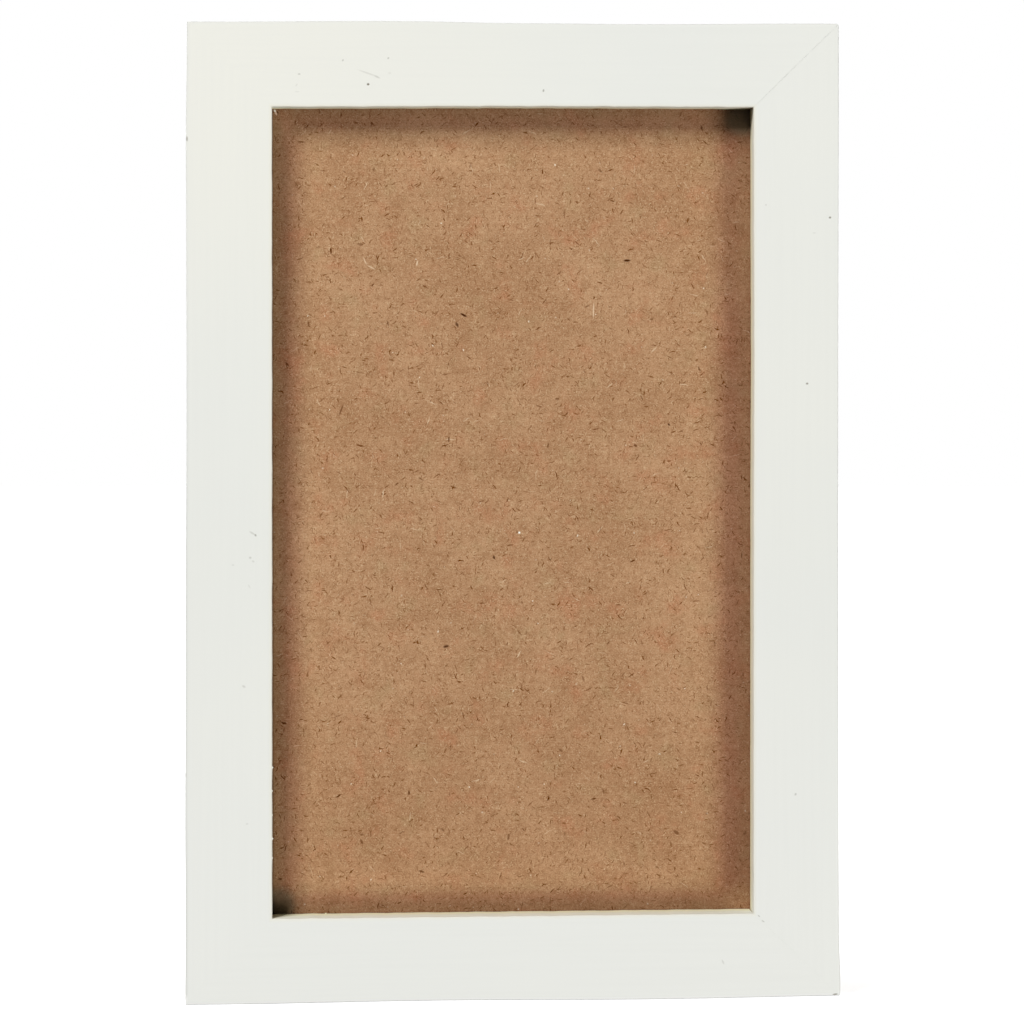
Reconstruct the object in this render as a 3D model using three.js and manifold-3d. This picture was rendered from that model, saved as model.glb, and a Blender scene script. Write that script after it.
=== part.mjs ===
// A white-painted wooden picture frame with a removable backing board, at real size in millimetres.
// Seen from the front, +X is to the right and +Z is up. The front faces -Y.
// The origin is the middle of the bottom edge, on which the frame can stand.
import * as THREE from "three";
import { mergeVertices } from "three/addons/utils/BufferGeometryUtils.js";
import Module from "manifold-3d";

const wasm = await Module();
wasm.setup();

// Overall size
const frameWidth = 200;
const frameHeight = 300;

// Moulding: the strip of wood from which all four sides are cut
const mouldingWidth = 26;
const mouldingDepth = 15;
const rebateWidth = 6;
const outerArris = 0.8; // radius of the front edge on the outside
const sightArris = 0.5; // radius of the front edge round the opening
const backArris = 0.4; // radius of the back edge on the outside
const glueLine = 0.2; // gap between the two faces of a mitre

// Backing board: a sheet of hardboard that drops into the rebate from behind
const boardThickness = 3.2;
const boardCorner = 1; // radius of the sheet's sawn corners
const boardSideGap = 0.75; // between the board's edge and the wall of the rebate
const boardSeatGap = 0.15; // between the board's face and the shoulder of the rebate
const boardBackGap = 0.15; // how far the board lies below the back of the frame

// Corner fasteners: bent steel strips driven across each mitre from behind
const vNailThickness = 0.7;
const vNailLeg = 4.6;
const vNailLip = 1.1; // curled end of each leg
const vNailBend = 0.6; // radius of the fold and of the curls
const vNailSpread = 52; // degrees between a leg and the mitre
const vNailCurl = 50; // degrees that each end is turned
const vNailHeight = 7;
const vNailSunk = 0.3; // below the back of the frame
const vNailClearance = 0.3; // slot round the strip
const vNailSpacing = 7; // between the two of one corner, measured along either side

// Turn buttons: flat steel tabs that swing over the board and hold it in
const buttonSpacing = 160; // between the two buttons of one side
const buttonPivotInset = 6; // from the wall of the rebate to the pivot
const buttonHeadRadius = 4.5;
const buttonTipRadius = 3;
const buttonReach = 14; // from the pivot to the tip
const buttonThickness = 1;
const buttonEdge = 0.15; // bevel round the stamped edge
const buttonHoleClearance = 0.25;
const buttonGap = 0.2; // under the button, and between it and the screw head

// Screws on which the buttons turn
const screwShankRadius = 1.5;
const screwLength = 9; // in the wood
const screwPointLength = 3;
const screwHeadRadius = 2.9;
const screwHeadRim = 0.5;
const screwHeadDome = 1.3;
const screwSlotWidth = 0.8;
const screwSlotLength = 3.4;
const screwSlotDepth = 1;
const pilotClearance = 0.2;

// Sawtooth hanger: a formed steel strip on the back of the top rail
const hangerLength = 44;
const hangerHeight = 9;
const hangerThickness = 0.8;
const hangerRise = 2.4; // how far the toothed bar stands off the wood
const hangerFootLength = 7.5; // flat end that is nailed down
const hangerRampLength = 2; // from a foot up to the toothed bar
const hangerBend = 0.9; // radius of the folds
const hangerCorner = 2;
const hangerToothPitch = 3;
const hangerToothDepth = 1.6;
const hangerToothMargin = 2; // plain edge at each end of the toothed bar
const hangerGap = 0.2; // under the feet

// Nails that fix the hanger
const nailShankRadius = 0.8;
const nailLength = 9; // in the wood
const nailPointLength = 1.6;
const nailHeadRadius = 2;
const nailHeadRim = 0.25;
const nailHeadDome = 0.5;
const nailGap = 0.15; // between the strip and the nail head
const nailHoleClearance = 0.25;

// Smoothness of round forms, and how far a cutter stands out of what it cuts
const arcSteps = 4;
const roundSides = 24;
const cutterOverrun = 1;

// Sizes that follow from the ones above
const rebateDepth = boardSeatGap + boardThickness + boardBackGap;
const lipDepth = mouldingDepth - rebateDepth;
const backLand = mouldingWidth - rebateWidth; // width of the flat back of each side
const openingWidth = frameWidth - 2 * mouldingWidth;
const openingHeight = frameHeight - 2 * mouldingWidth;
const pilotDepth = { screw: screwLength + pilotClearance, nail: nailLength + pilotClearance };
const buttonPivot = backLand - buttonPivotInset; // in from the outer edge
const nailOffset = hangerLength / 2 - hangerFootLength / 2; // from the middle of the hanger
const vNailStations = {
  outer: backLand / 2 - vNailSpacing / 2,
  inner: backLand / 2 + vNailSpacing / 2,
};

// Colours and finishes
const paintedWood = new THREE.MeshStandardMaterial({ color: 0xe9eae5, roughness: 0.45, metalness: 0 });
const hardboard = new THREE.MeshStandardMaterial({ color: 0xaf8764, roughness: 0.8, metalness: 0 });
const zincSteel = new THREE.MeshStandardMaterial({ color: 0xb9bbbd, roughness: 0.35, metalness: 1 });
const bareSteel = new THREE.MeshStandardMaterial({ color: 0x8d8f92, roughness: 0.5, metalness: 1 });

// A closed geometry as a solid that can be cut and joined.
function solidOf(geometry) {
  const bare = geometry.clone();
  bare.deleteAttribute("normal");
  bare.deleteAttribute("uv");
  const merged = mergeVertices(bare);
  return new wasm.Manifold(
    new wasm.Mesh({
      numProp: 3,
      vertProperties: merged.attributes.position.array,
      triVerts: new Uint32Array(merged.index.array),
    }),
  );
}

// A solid as a geometry with flat-shaded faces.
function geometryOf(solid) {
  const mesh = solid.getMesh();
  const indexed = new THREE.BufferGeometry();
  indexed.setAttribute("position", new THREE.BufferAttribute(mesh.vertProperties, 3));
  indexed.setIndex(new THREE.BufferAttribute(mesh.triVerts, 1));
  const geometry = indexed.toNonIndexed();
  geometry.computeVertexNormals();
  return geometry;
}

function cutAway(geometry, cutters) {
  const solid = cutters.reduce((rest, cutter) => rest.subtract(solidOf(cutter)), solidOf(geometry));
  return geometryOf(solid);
}

function namedMesh(name, geometry, material) {
  const mesh = new THREE.Mesh(geometry, material);
  mesh.name = name;
  return mesh;
}

// A plate of the outline, which is drawn in X and Z. It runs from Y = 0 to Y = thickness.
function plate(outline, thickness, bevel = 0) {
  const geometry = new THREE.ExtrudeGeometry(outline, {
    depth: thickness - 2 * bevel,
    curveSegments: roundSides / 4,
    bevelEnabled: bevel > 0,
    bevelThickness: bevel,
    bevelSize: bevel,
    bevelOffset: -bevel,
    bevelSegments: 1,
  });
  return geometry.translate(0, 0, bevel - thickness).rotateX(Math.PI / 2);
}

// The outline of a bent strip: its middle line goes through the corners, each rounded by the bend.
function stripOutline(corners, bend, thickness) {
  const points = corners.map(([x, y]) => new THREE.Vector2(x, y));
  const middle = new THREE.Path().moveTo(points[0].x, points[0].y);
  for (let i = 1; i < points.length - 1; i++) {
    const back = points[i - 1].clone().sub(points[i]).setLength(bend).add(points[i]);
    const ahead = points[i + 1].clone().sub(points[i]).setLength(bend).add(points[i]);
    middle.lineTo(back.x, back.y);
    middle.quadraticCurveTo(points[i].x, points[i].y, ahead.x, ahead.y);
  }
  middle.lineTo(points.at(-1).x, points.at(-1).y);
  const line = middle.getPoints(arcSteps);
  const side = (reach) =>
    line.map((point, i) => {
      const into = point.clone().sub(line[Math.max(i - 1, 0)]).normalize();
      const out = line[Math.min(i + 1, line.length - 1)].clone().sub(point).normalize();
      const along = into.clone().add(out).normalize();
      const stretch = 1 / along.dot(i ? into : out);
      return new THREE.Vector2(-along.y, along.x).multiplyScalar(reach * stretch).add(point);
    });
  return new THREE.Shape([...side(-thickness / 2), ...side(thickness / 2).reverse()]);
}

// A fastener turned about Y: a pointed shank below Y = 0 and, from Y = seat up, a domed head.
function turnedFastener({ shank, length, point, seat, head, rim, dome }) {
  const headTop = seat + rim + dome;
  const profile = [
    new THREE.Vector2(0, -length),
    new THREE.Vector2(shank, point - length),
    new THREE.Vector2(shank, seat),
    new THREE.Vector2(head, seat),
    new THREE.Vector2(head, seat + rim),
  ];
  for (let i = 1; i <= arcSteps; i++) {
    const turn = ((i / arcSteps) * Math.PI) / 2;
    profile.push(new THREE.Vector2(head * Math.cos(turn), seat + rim + dome * Math.sin(turn)));
  }
  profile[profile.length - 1].set(0, headTop);
  return new THREE.LatheGeometry(profile, roundSides);
}

// A straight hole for a shank, bored into the wood from its back.
function pilotHole(shank, depth) {
  const radius = shank + pilotClearance;
  const hole = new THREE.CylinderGeometry(radius, radius, depth + cutterOverrun, roundSides);
  return hole.translate(0, mouldingDepth - (depth - cutterOverrun) / 2, 0);
}

// Section of the moulding. X is the distance in from the outer edge, and Y the depth behind the front.
function mouldingSection() {
  const quarter = Math.PI / 2;
  const section = new THREE.Shape();
  section.absarc(outerArris, outerArris, outerArris, 2 * quarter, 3 * quarter);
  section.absarc(mouldingWidth - sightArris, sightArris, sightArris, 3 * quarter, 4 * quarter);
  section.lineTo(mouldingWidth, lipDepth);
  section.lineTo(backLand, lipDepth);
  section.lineTo(backLand, mouldingDepth);
  section.absarc(backArris, mouldingDepth - backArris, backArris, quarter, 2 * quarter);
  return section;
}

// One side of the frame. X runs along it, Y from front to back, and Z in from its outer edge.
// Each end is mitred: it falls back by as much as the point lies in from the outer edge.
function mitredSide(length) {
  const geometry = new THREE.ExtrudeGeometry(mouldingSection(), {
    depth: 1,
    curveSegments: arcSteps,
    bevelEnabled: false,
  });
  const position = geometry.attributes.position;
  const fullReach = length / 2 - glueLine / Math.SQRT2;
  for (let i = 0; i < position.count; i++) {
    const inset = position.getX(i);
    const end = position.getZ(i) > 0 ? -1 : 1;
    position.setXYZ(i, end * (fullReach - inset), position.getY(i), inset);
  }
  geometry.computeVertexNormals();
  return geometry;
}

// Corner fastener, a strip folded on the mitre with both ends curled, centred on its own depth.
// X runs along the mitre, in from the outer corner, and Y = 0 is the front of the frame.
// With a clearance it is the slot for that strip, open at the back.
function vNail(clearance) {
  const spread = THREE.MathUtils.degToRad(vNailSpread);
  const curl = THREE.MathUtils.degToRad(vNailSpread + vNailCurl);
  const lip = vNailLip + clearance;
  const fold = (vNailLeg * Math.cos(spread)) / 2;
  const legEnd = (way) => [-fold, way * vNailLeg * Math.sin(spread)];
  const lipEnd = (way) => [
    legEnd(way)[0] - lip * Math.cos(curl),
    legEnd(way)[1] + way * lip * Math.sin(curl),
  ];
  const corners = [lipEnd(-1), legEnd(-1), [fold, 0], legEnd(1), lipEnd(1)];
  const outline = stripOutline(corners, vNailBend, vNailThickness + 2 * clearance);
  const foot = mouldingDepth - vNailSunk - vNailHeight - clearance;
  const head = clearance ? mouldingDepth + cutterOverrun : mouldingDepth - vNailSunk;
  return plate(outline, head - foot).translate(0, foot, 0);
}

// The slots that the corner fasteners need at both ends of a side.
function vNailSlots(length) {
  const slots = [];
  for (const end of [-1, 1]) {
    for (const station of Object.values(vNailStations)) {
      const towardsMiddle = end < 0 ? -Math.PI / 4 : (-3 * Math.PI) / 4;
      const slot = vNail(vNailClearance).rotateY(towardsMiddle);
      slots.push(slot.translate(end * (length / 2 - station), 0, station));
    }
  }
  return slots;
}

// Turn button, from its underside at Y = 0. At rest it points along +Z, over the board.
function turnButton() {
  const tipCentre = buttonReach - buttonTipRadius;
  const lean = Math.acos((buttonHeadRadius - buttonTipRadius) / tipCentre);
  const up = Math.PI / 2;
  const outline = new THREE.Shape();
  outline.absarc(0, 0, buttonHeadRadius, up + lean, up - lean + 2 * Math.PI);
  outline.absarc(0, tipCentre, buttonTipRadius, up - lean, up + lean);
  const hole = new THREE.Path();
  hole.absarc(0, 0, screwShankRadius + buttonHoleClearance, 0, 2 * Math.PI);
  outline.holes.push(hole);
  return plate(outline, buttonThickness, buttonEdge);
}

// Pan-head screw with a cross recess. Y = 0 is the surface of the wood.
function buttonScrew() {
  const seat = buttonGap + buttonThickness + buttonGap;
  const blank = turnedFastener({
    shank: screwShankRadius,
    length: screwLength,
    point: screwPointLength,
    seat,
    head: screwHeadRadius,
    rim: screwHeadRim,
    dome: screwHeadDome,
  });
  const middle = seat + screwHeadRim + screwHeadDome;
  const slot = [screwSlotLength, 2 * screwSlotDepth, screwSlotWidth];
  const cross = [new THREE.BoxGeometry(...slot), new THREE.BoxGeometry(...slot.toReversed())];
  return cutAway(blank, cross.map((arm) => arm.translate(0, middle, 0)));
}

// Sawtooth hanger. X runs along the rail, and Y = 0 is the surface of the wood.
function sawtoothHanger() {
  const low = hangerGap + hangerThickness / 2;
  const high = hangerRise + hangerThickness / 2;
  const end = hangerLength / 2;
  const foot = end - hangerFootLength;
  const bar = foot - hangerRampLength;
  const bends = [[-end, low], [-foot, low], [-bar, high], [bar, high], [foot, low], [end, low]];
  const strip = new THREE.ExtrudeGeometry(stripOutline(bends, hangerBend, hangerThickness), {
    depth: hangerHeight,
    bevelEnabled: false,
  }).translate(0, 0, -hangerHeight / 2);

  const half = hangerHeight / 2;
  const straight = half - hangerCorner;
  const toothCount = Math.floor((2 * (bar - hangerToothMargin)) / hangerToothPitch);
  const toothed = (toothCount * hangerToothPitch) / 2;
  const quarter = Math.PI / 2;
  const outline = new THREE.Shape();
  outline.absarc(end - hangerCorner, straight, hangerCorner, 0, quarter);
  outline.absarc(hangerCorner - end, straight, hangerCorner, quarter, 2 * quarter);
  outline.absarc(hangerCorner - end, -straight, hangerCorner, 2 * quarter, 3 * quarter);
  outline.lineTo(-toothed, -half);
  for (let i = 0; i < toothCount; i++) {
    const start = -toothed + i * hangerToothPitch;
    outline.lineTo(start + hangerToothPitch / 2, -half + hangerToothDepth);
    outline.lineTo(start + hangerToothPitch, -half);
  }
  outline.absarc(end - hangerCorner, -straight, hangerCorner, 3 * quarter, 4 * quarter);
  for (const way of [-1, 1]) {
    const hole = new THREE.Path();
    hole.absarc(way * nailOffset, 0, nailShankRadius + nailHoleClearance, 0, 2 * Math.PI);
    outline.holes.push(hole);
  }
  const blank = plate(outline, high + hangerThickness);
  return geometryOf(solidOf(strip).intersect(solidOf(blank)));
}

// Nail for the hanger. Y = 0 is the surface of the wood.
function hangerNail() {
  return turnedFastener({
    shank: nailShankRadius,
    length: nailLength,
    point: nailPointLength,
    seat: hangerGap + hangerThickness + nailGap,
    head: nailHeadRadius,
    rim: nailHeadRim,
    dome: nailHeadDome,
  });
}

// Backing board, in the frame's own axes, with its face towards the front.
function backingBoard() {
  const halfWidth = openingWidth / 2 + rebateWidth - boardSideGap;
  const halfHeight = openingHeight / 2 + rebateWidth - boardSideGap;
  const quarter = Math.PI / 2;
  const outline = new THREE.Shape();
  [[1, 1], [-1, 1], [-1, -1], [1, -1]].forEach(([right, up], turn) => {
    const x = right * (halfWidth - boardCorner);
    const z = up * (halfHeight - boardCorner);
    outline.absarc(x, z, boardCorner, turn * quarter, (turn + 1) * quarter);
  });
  return plate(outline, boardThickness).translate(0, lipDepth + boardSeatGap, frameHeight / 2);
}

// Each side is a group with the axes of mitredSide, turned about Y into its place in the frame.
const frame = new THREE.Group();
frame.position.y = -mouldingDepth / 2;

function addSide(name, { length, turn, x, z, holes }) {
  const side = new THREE.Group();
  side.position.set(x, 0, z);
  side.rotation.y = turn;
  const wood = cutAway(mitredSide(length), [...vNailSlots(length), ...holes]);
  side.add(namedMesh(name, wood, paintedWood));
  frame.add(side);
  return side;
}

const nailHoles = [-nailOffset, nailOffset].map((x) =>
  pilotHole(nailShankRadius, pilotDepth.nail).translate(x, 0, backLand / 2),
);
const screwHoles = [-buttonSpacing / 2, buttonSpacing / 2].map((x) =>
  pilotHole(screwShankRadius, pilotDepth.screw).translate(x, 0, buttonPivot),
);
const quarterTurn = Math.PI / 2;
const topRail = addSide("top_rail", {
  length: frameWidth,
  turn: 2 * quarterTurn,
  x: 0,
  z: frameHeight,
  holes: nailHoles,
});
addSide("bottom_rail", {
  length: frameWidth,
  turn: 0,
  x: 0,
  z: 0,
  holes: [],
});
const leftStile = addSide("left_stile", {
  length: frameHeight,
  turn: quarterTurn,
  x: -frameWidth / 2,
  z: frameHeight / 2,
  holes: screwHoles,
});
const rightStile = addSide("right_stile", {
  length: frameHeight,
  turn: -quarterTurn,
  x: frameWidth / 2,
  z: frameHeight / 2,
  holes: screwHoles,
});

frame.add(namedMesh("backing_board", backingBoard(), hardboard));

// Corner fasteners, two across each mitre. In each corner X runs along the mitre towards the middle.
for (const [corner, right, up, eighths] of [
  ["bottom_left", -1, false, -1],
  ["bottom_right", 1, false, -3],
  ["top_left", -1, true, 1],
  ["top_right", 1, true, 3],
]) {
  for (const [place, station] of Object.entries(vNailStations)) {
    const nail = namedMesh(`v_nail_${corner}_${place}`, vNail(0), bareSteel);
    nail.rotation.y = (eighths * quarterTurn) / 2;
    nail.position.set(right * (frameWidth / 2 - station), 0, up ? frameHeight - station : station);
    frame.add(nail);
  }
}

// Turn buttons and their screws, two on each stile. The X axis of the left stile runs downwards.
for (const [side, stile, upwards] of [
  ["left", leftStile, -1],
  ["right", rightStile, 1],
]) {
  for (const [level, way] of [
    ["upper", upwards],
    ["lower", -upwards],
  ]) {
    const along = (way * buttonSpacing) / 2;
    const screw = namedMesh(`button_screw_${side}_${level}`, buttonScrew(), zincSteel);
    screw.position.set(along, mouldingDepth, buttonPivot);
    const button = namedMesh(`turn_button_${side}_${level}`, turnButton(), zincSteel);
    button.position.set(along, mouldingDepth + buttonGap, buttonPivot);
    stile.add(screw, button);
  }
}

// Hanger in the middle of the top rail, teeth down, with a nail through each foot.
const hangerSeat = new THREE.Group();
hangerSeat.position.set(0, mouldingDepth, backLand / 2);
hangerSeat.rotation.y = -topRail.rotation.y;
hangerSeat.add(namedMesh("sawtooth_hanger", sawtoothHanger(), zincSteel));
for (const [side, way] of [
  ["left", -1],
  ["right", 1],
]) {
  const nail = namedMesh(`hanger_nail_${side}`, hangerNail(), bareSteel);
  nail.position.x = way * nailOffset;
  hangerSeat.add(nail);
}
topRail.add(hangerSeat);

export default frame;
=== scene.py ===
import math

import bpy
import numpy as np
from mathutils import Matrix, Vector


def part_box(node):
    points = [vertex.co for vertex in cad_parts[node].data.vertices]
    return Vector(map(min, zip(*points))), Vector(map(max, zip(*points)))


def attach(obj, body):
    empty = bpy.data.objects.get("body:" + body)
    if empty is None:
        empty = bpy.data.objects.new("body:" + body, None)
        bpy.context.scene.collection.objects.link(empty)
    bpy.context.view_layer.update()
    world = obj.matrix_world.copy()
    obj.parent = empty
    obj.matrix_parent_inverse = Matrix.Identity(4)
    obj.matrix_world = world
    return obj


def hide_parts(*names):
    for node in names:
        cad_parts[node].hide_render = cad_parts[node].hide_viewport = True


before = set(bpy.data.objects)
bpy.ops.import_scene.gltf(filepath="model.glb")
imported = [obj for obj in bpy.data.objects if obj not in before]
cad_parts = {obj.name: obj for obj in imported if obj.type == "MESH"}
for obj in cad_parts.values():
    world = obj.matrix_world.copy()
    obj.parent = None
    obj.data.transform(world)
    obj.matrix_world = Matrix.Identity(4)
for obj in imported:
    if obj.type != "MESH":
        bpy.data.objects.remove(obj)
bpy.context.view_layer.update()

# The four sides are softwood planed to a flat moulding with a rebate behind, mitred, glued and nailed,
# then sprayed white. The spray covers the front, the lip round the opening and the outer edges. The
# back and the rebate stay bare with a dusty border, and the frame is a little out of square.
MM = 0.001


def room_of(node):
    """The lowest and the highest corner, in mm, of the space that a node of the frame takes up."""
    return (np.array(corner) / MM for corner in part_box(node))


stile_low, stile_high = (corner.round(3) for corner in room_of("left_stile"))
front_plane = stile_low[1]
moulding_width, moulding_depth = (stile_high - stile_low)[:2]
rebate_width = 6.0
lip_depth = 11.5
outer_arris = 0.4
sight_arris = 0.45
foot_arris = 0.3
rebate_arris = 0.25
back_arris = 0.4
rebate_root = 0.02

# Places of the corners on the front, as (x, z): the outer edge, then the lip of the opening.
outer_corner = {
    "top_left": (-98.84, 297.37),
    "top_right": (98.81, 297.63),
    "bottom_right": (99.93, 1.14),
    "bottom_left": (-99.96, 0.03),
}
lip_corner = {
    "top_left": (-73.26, 271.72),
    "top_right": (72.75, 272.13),
    "bottom_right": (73.06, 26.62),
    "bottom_left": (-73.59, 26.12),
}
corner_round = {"top_left": 0.35, "top_right": 0.9, "bottom_right": 0.4, "bottom_left": 0.35}
mitre_gap = {"top_left": 0.0, "top_right": 0.04, "bottom_right": 0.015, "bottom_left": 0.0}


def moulding_section():
    """The closed section as distance across from the outer edge and depth behind the front: six square
    corners, each rounded by a quarter circle of its own radius, with even steps on the straight runs."""
    inner = moulding_width - rebate_width
    corners = np.array([
        (0, 0), (moulding_width, 0), (moulding_width, lip_depth),
        (inner, lip_depth), (inner, moulding_depth), (0, moulding_depth),
    ])
    radii = np.array([outer_arris, sight_arris, foot_arris, rebate_root, rebate_arris, back_arris])
    run_steps = (26, 14, 8, 5, 20, 14)
    turn = np.linspace(0, np.pi / 2, 7)
    section = []
    for i, (corner, radius) in enumerate(zip(corners, radii)):
        ahead = corners[(i + 1) % 6] - corner
        length = np.abs(ahead).sum()
        ahead = ahead / length
        into = (corner - corners[i - 1]) / np.abs(corner - corners[i - 1]).sum()
        centre = corner - radius * into + radius * ahead
        section.append(centre + radius * (np.outer(np.sin(turn), into) - np.outer(np.cos(turn), ahead)))
        distance = np.linspace(radius, length - radii[(i + 1) % 6], run_steps[i] + 1)[1:-1]
        section.append(corner + distance[:, None] * ahead)
    return np.concatenate(section).T


# How far the coat of each face reaches round its edges, what it loses down the lip and down the outer edge,
# and the strength and reach of the dust on the back and on the shoulder of the rebate.
front_skin = 0.5
lip_skin = 0.16
edge_skin = 0.3
lip_loss = 0.3
edge_loss = 0.35
back_dust = 0.55
back_dust_reach = 1.4
shoulder_dust = 0.45
shoulder_dust_reach = 0.8


def coat_on(across, depth):
    """How thick the paint lies at a point of the section, from 0 on bare wood to 1: full on the front,
    thinner down the lip and along the outer edge, a fading border of dust on the back."""
    front = depth < front_skin
    lip = across > moulding_width - lip_skin
    outside = across < edge_skin
    back = depth > moulding_depth - edge_skin
    shoulder = (across > moulding_width - rebate_width + 0.1) & ~lip
    on_lip = 0.98 - lip_loss * (depth / lip_depth) ** 3
    on_outside = 1 - edge_loss * (depth / moulding_depth) ** 4
    on_back = back_dust * np.exp(-across / back_dust_reach)
    on_shoulder = shoulder_dust * np.exp((across - moulding_width) / shoulder_dust_reach)
    faces = [front, lip, outside, back, shoulder]
    return np.select(faces, [1, on_lip, on_outside, on_back, on_shoulder], 0)


def bow(t, height, half_turns, phase=0.0):
    """A cosine of so many half turns along the edge, less the straight line between its own ends."""
    def wave(u):
        return height * np.cos(np.pi * half_turns * (u - phase))
    return wave(t) - (1 - t) * wave(0.0) - t * wave(1.0)


def step_up(t, start, end):
    """A smooth step from 0 at start to 1 at end."""
    u = np.clip((t - start) / (end - start), 0, 1)
    return u * u * (3 - 2 * u)


def ripple(t, seed):
    """The small unevenness of a sanded edge: three sines of short wavelength, a few hundredths high."""
    turns, heights = (9, 17, 29), (0.06, 0.045, 0.035)
    waves = sum(h * np.sin(2 * np.pi * n * t + seed * n) for n, h in zip(turns, heights))
    return waves * step_up(t, 0.0, 0.04) * step_up(t, 1.0, 0.96)


def swell(t, middle, width, height):
    """A single bell-shaped swell of the edge."""
    return height * np.exp(-((t - middle) / width) ** 2)


def sheet_of_quads(rows, cols, wrap_rows=False, wrap_cols=False):
    """Corner numbers of the quads between the points of a grid, which may close on itself either way."""
    row_starts = np.arange(rows if wrap_rows else rows - 1)
    col_starts = np.arange(cols if wrap_cols else cols - 1)
    row, col = np.meshgrid(row_starts, col_starts, indexing="ij")
    next_row, next_col = (row + 1) % rows, (col + 1) % cols
    corners = (row * cols + col, row * cols + next_col, next_row * cols + next_col, next_row * cols + col)
    return np.stack(corners, -1).reshape(-1, 4)


crease_angle = math.radians(35)


def put_in_mesh(name, points, faces):
    """A new object at the origin from points in mm and faces, smooth up to the crease angle."""
    mesh = bpy.data.meshes.new(name)
    mesh.from_pydata(np.asarray(points).reshape(-1, 3) * MM, [], faces)
    mesh.polygons.foreach_set("use_smooth", np.ones(len(mesh.polygons), bool))
    mesh.set_sharp_from_angle(angle=crease_angle)
    mesh.update()
    piece = bpy.data.objects.new(name, mesh)
    bpy.context.scene.collection.objects.link(piece)
    return piece


def swept(name, grid):
    """A closed section carried along a path, one row of the grid per station, with both ends capped."""
    rows, cols = grid.shape[:2]
    caps = [list(range(cols))[::-1], list(range((rows - 1) * cols, rows * cols))]
    return put_in_mesh(name, grid, sheet_of_quads(rows, cols, wrap_cols=True).tolist() + caps)


def carry_numbers(piece, name, values, kind="FLOAT"):
    """Keeps one number, or one vector, for each point of the piece, for its material to read."""
    layer = piece.data.attributes.new(name, kind, "POINT")
    field = "vector" if kind == "FLOAT_VECTOR" else "value"
    layer.data.foreach_set(field, np.ascontiguousarray(values, np.float32).ravel())


station_step = 2.5
end_stations = np.array([0, 0.06, 0.12, 0.2, 0.3, 0.42, 0.6, 0.85, 1.3])
fleck_stations = np.linspace(-0.8, 0.8, 17)


def stations(length, fine_at):
    """Shares of the way along a side: even steps, close together at the ends and round each fleck."""
    even = np.arange(station_step, length - 2, station_step)
    fleck = np.add.outer(np.asarray(fine_at, float) * length, fleck_stations).ravel()
    along = np.concatenate([end_stations, even, length - end_stations, fleck])
    return np.unique(along.round(4)) / length


lean_width = 4.0
fleck_rise = 0.7


def side_surface(start, end, outer_bow, lip_bow, lean, flecks):
    """A point is a mix, by its distance across, of the outer edge and the lip at the same share t of the
    way, both bowed by their own waves. The wall leans into the opening towards its foot, and an open mitre
    is wider and narrower in a sine across the moulding. Near a corner no point lies outside the rounding:
    with a = radius - distance from the corner, across is at least (a + r - sqrt((a + r)^2 - 2 a^2)) / 2.
    Each point keeps its place in the wood and its way to a mitre."""
    outer_a, outer_b = np.array(outer_corner[start]), np.array(outer_corner[end])
    lip_a, lip_b = np.array(lip_corner[start]), np.array(lip_corner[end])
    length = np.linalg.norm(outer_b - outer_a)
    along = (outer_b - outer_a) / length
    outward = np.array([-along[1], along[0]])
    across, depth = moulding_section()
    t = stations(length, [f[0] for f in flecks])[:, None]

    least = np.zeros_like(t)
    for corner, distance in ((start, t * length), (end, (1 - t) * length)):
        r = corner_round[corner]
        a = np.clip(r - distance, 0, None)
        least = np.maximum(least, (a + r - np.sqrt((a + r) ** 2 - 2 * a * a)) / 2)
    held_across = np.maximum(across, least)
    share = (held_across / moulding_width)[..., None]

    t = t[..., None]
    outer = (1 - t) * outer_a + t * outer_b + outer_bow(t) * outward
    lip = (1 - t) * lip_a + t * lip_b - lip_bow(t) * outward
    plan = (1 - share) * outer + share * lip
    open_here = (0.5 + 0.5 * np.sin(1.9 * across + 0.8))[:, None] * math.sqrt(2) / 2
    plan = plan + ((1 - t) * mitre_gap[start] - t * mitre_gap[end]) * open_here * along
    near_wall = step_up(across, moulding_width - lean_width, moulding_width - 0.4)
    toward_foot = np.clip(depth / lip_depth, 0, 1) * near_wall
    plan = plan - (lean * toward_foot)[:, None] * outward
    on_lip = step_up(across, moulding_width - 0.7, moulding_width - 0.1)
    for place, fleck_depth, height, width in flecks:
        beside = (t[..., 0] - place) * length / width
        rise = np.exp(-beside ** 2 - ((depth - fleck_depth) / fleck_rise) ** 2)
        plan = plan - (height * rise * on_lip)[..., None] * outward
    y = np.broadcast_to(front_plane + depth, plan.shape[:2])
    grid = np.stack([plan[..., 0], y, plan[..., 1]], -1)
    run = np.broadcast_to(t[..., 0] * length, y.shape)
    wood = np.stack([run, held_across, np.broadcast_to(depth, y.shape)], -1)
    return grid, wood, np.broadcast_to(coat_on(across, depth), y.shape), np.minimum(run, length - run)


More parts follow.
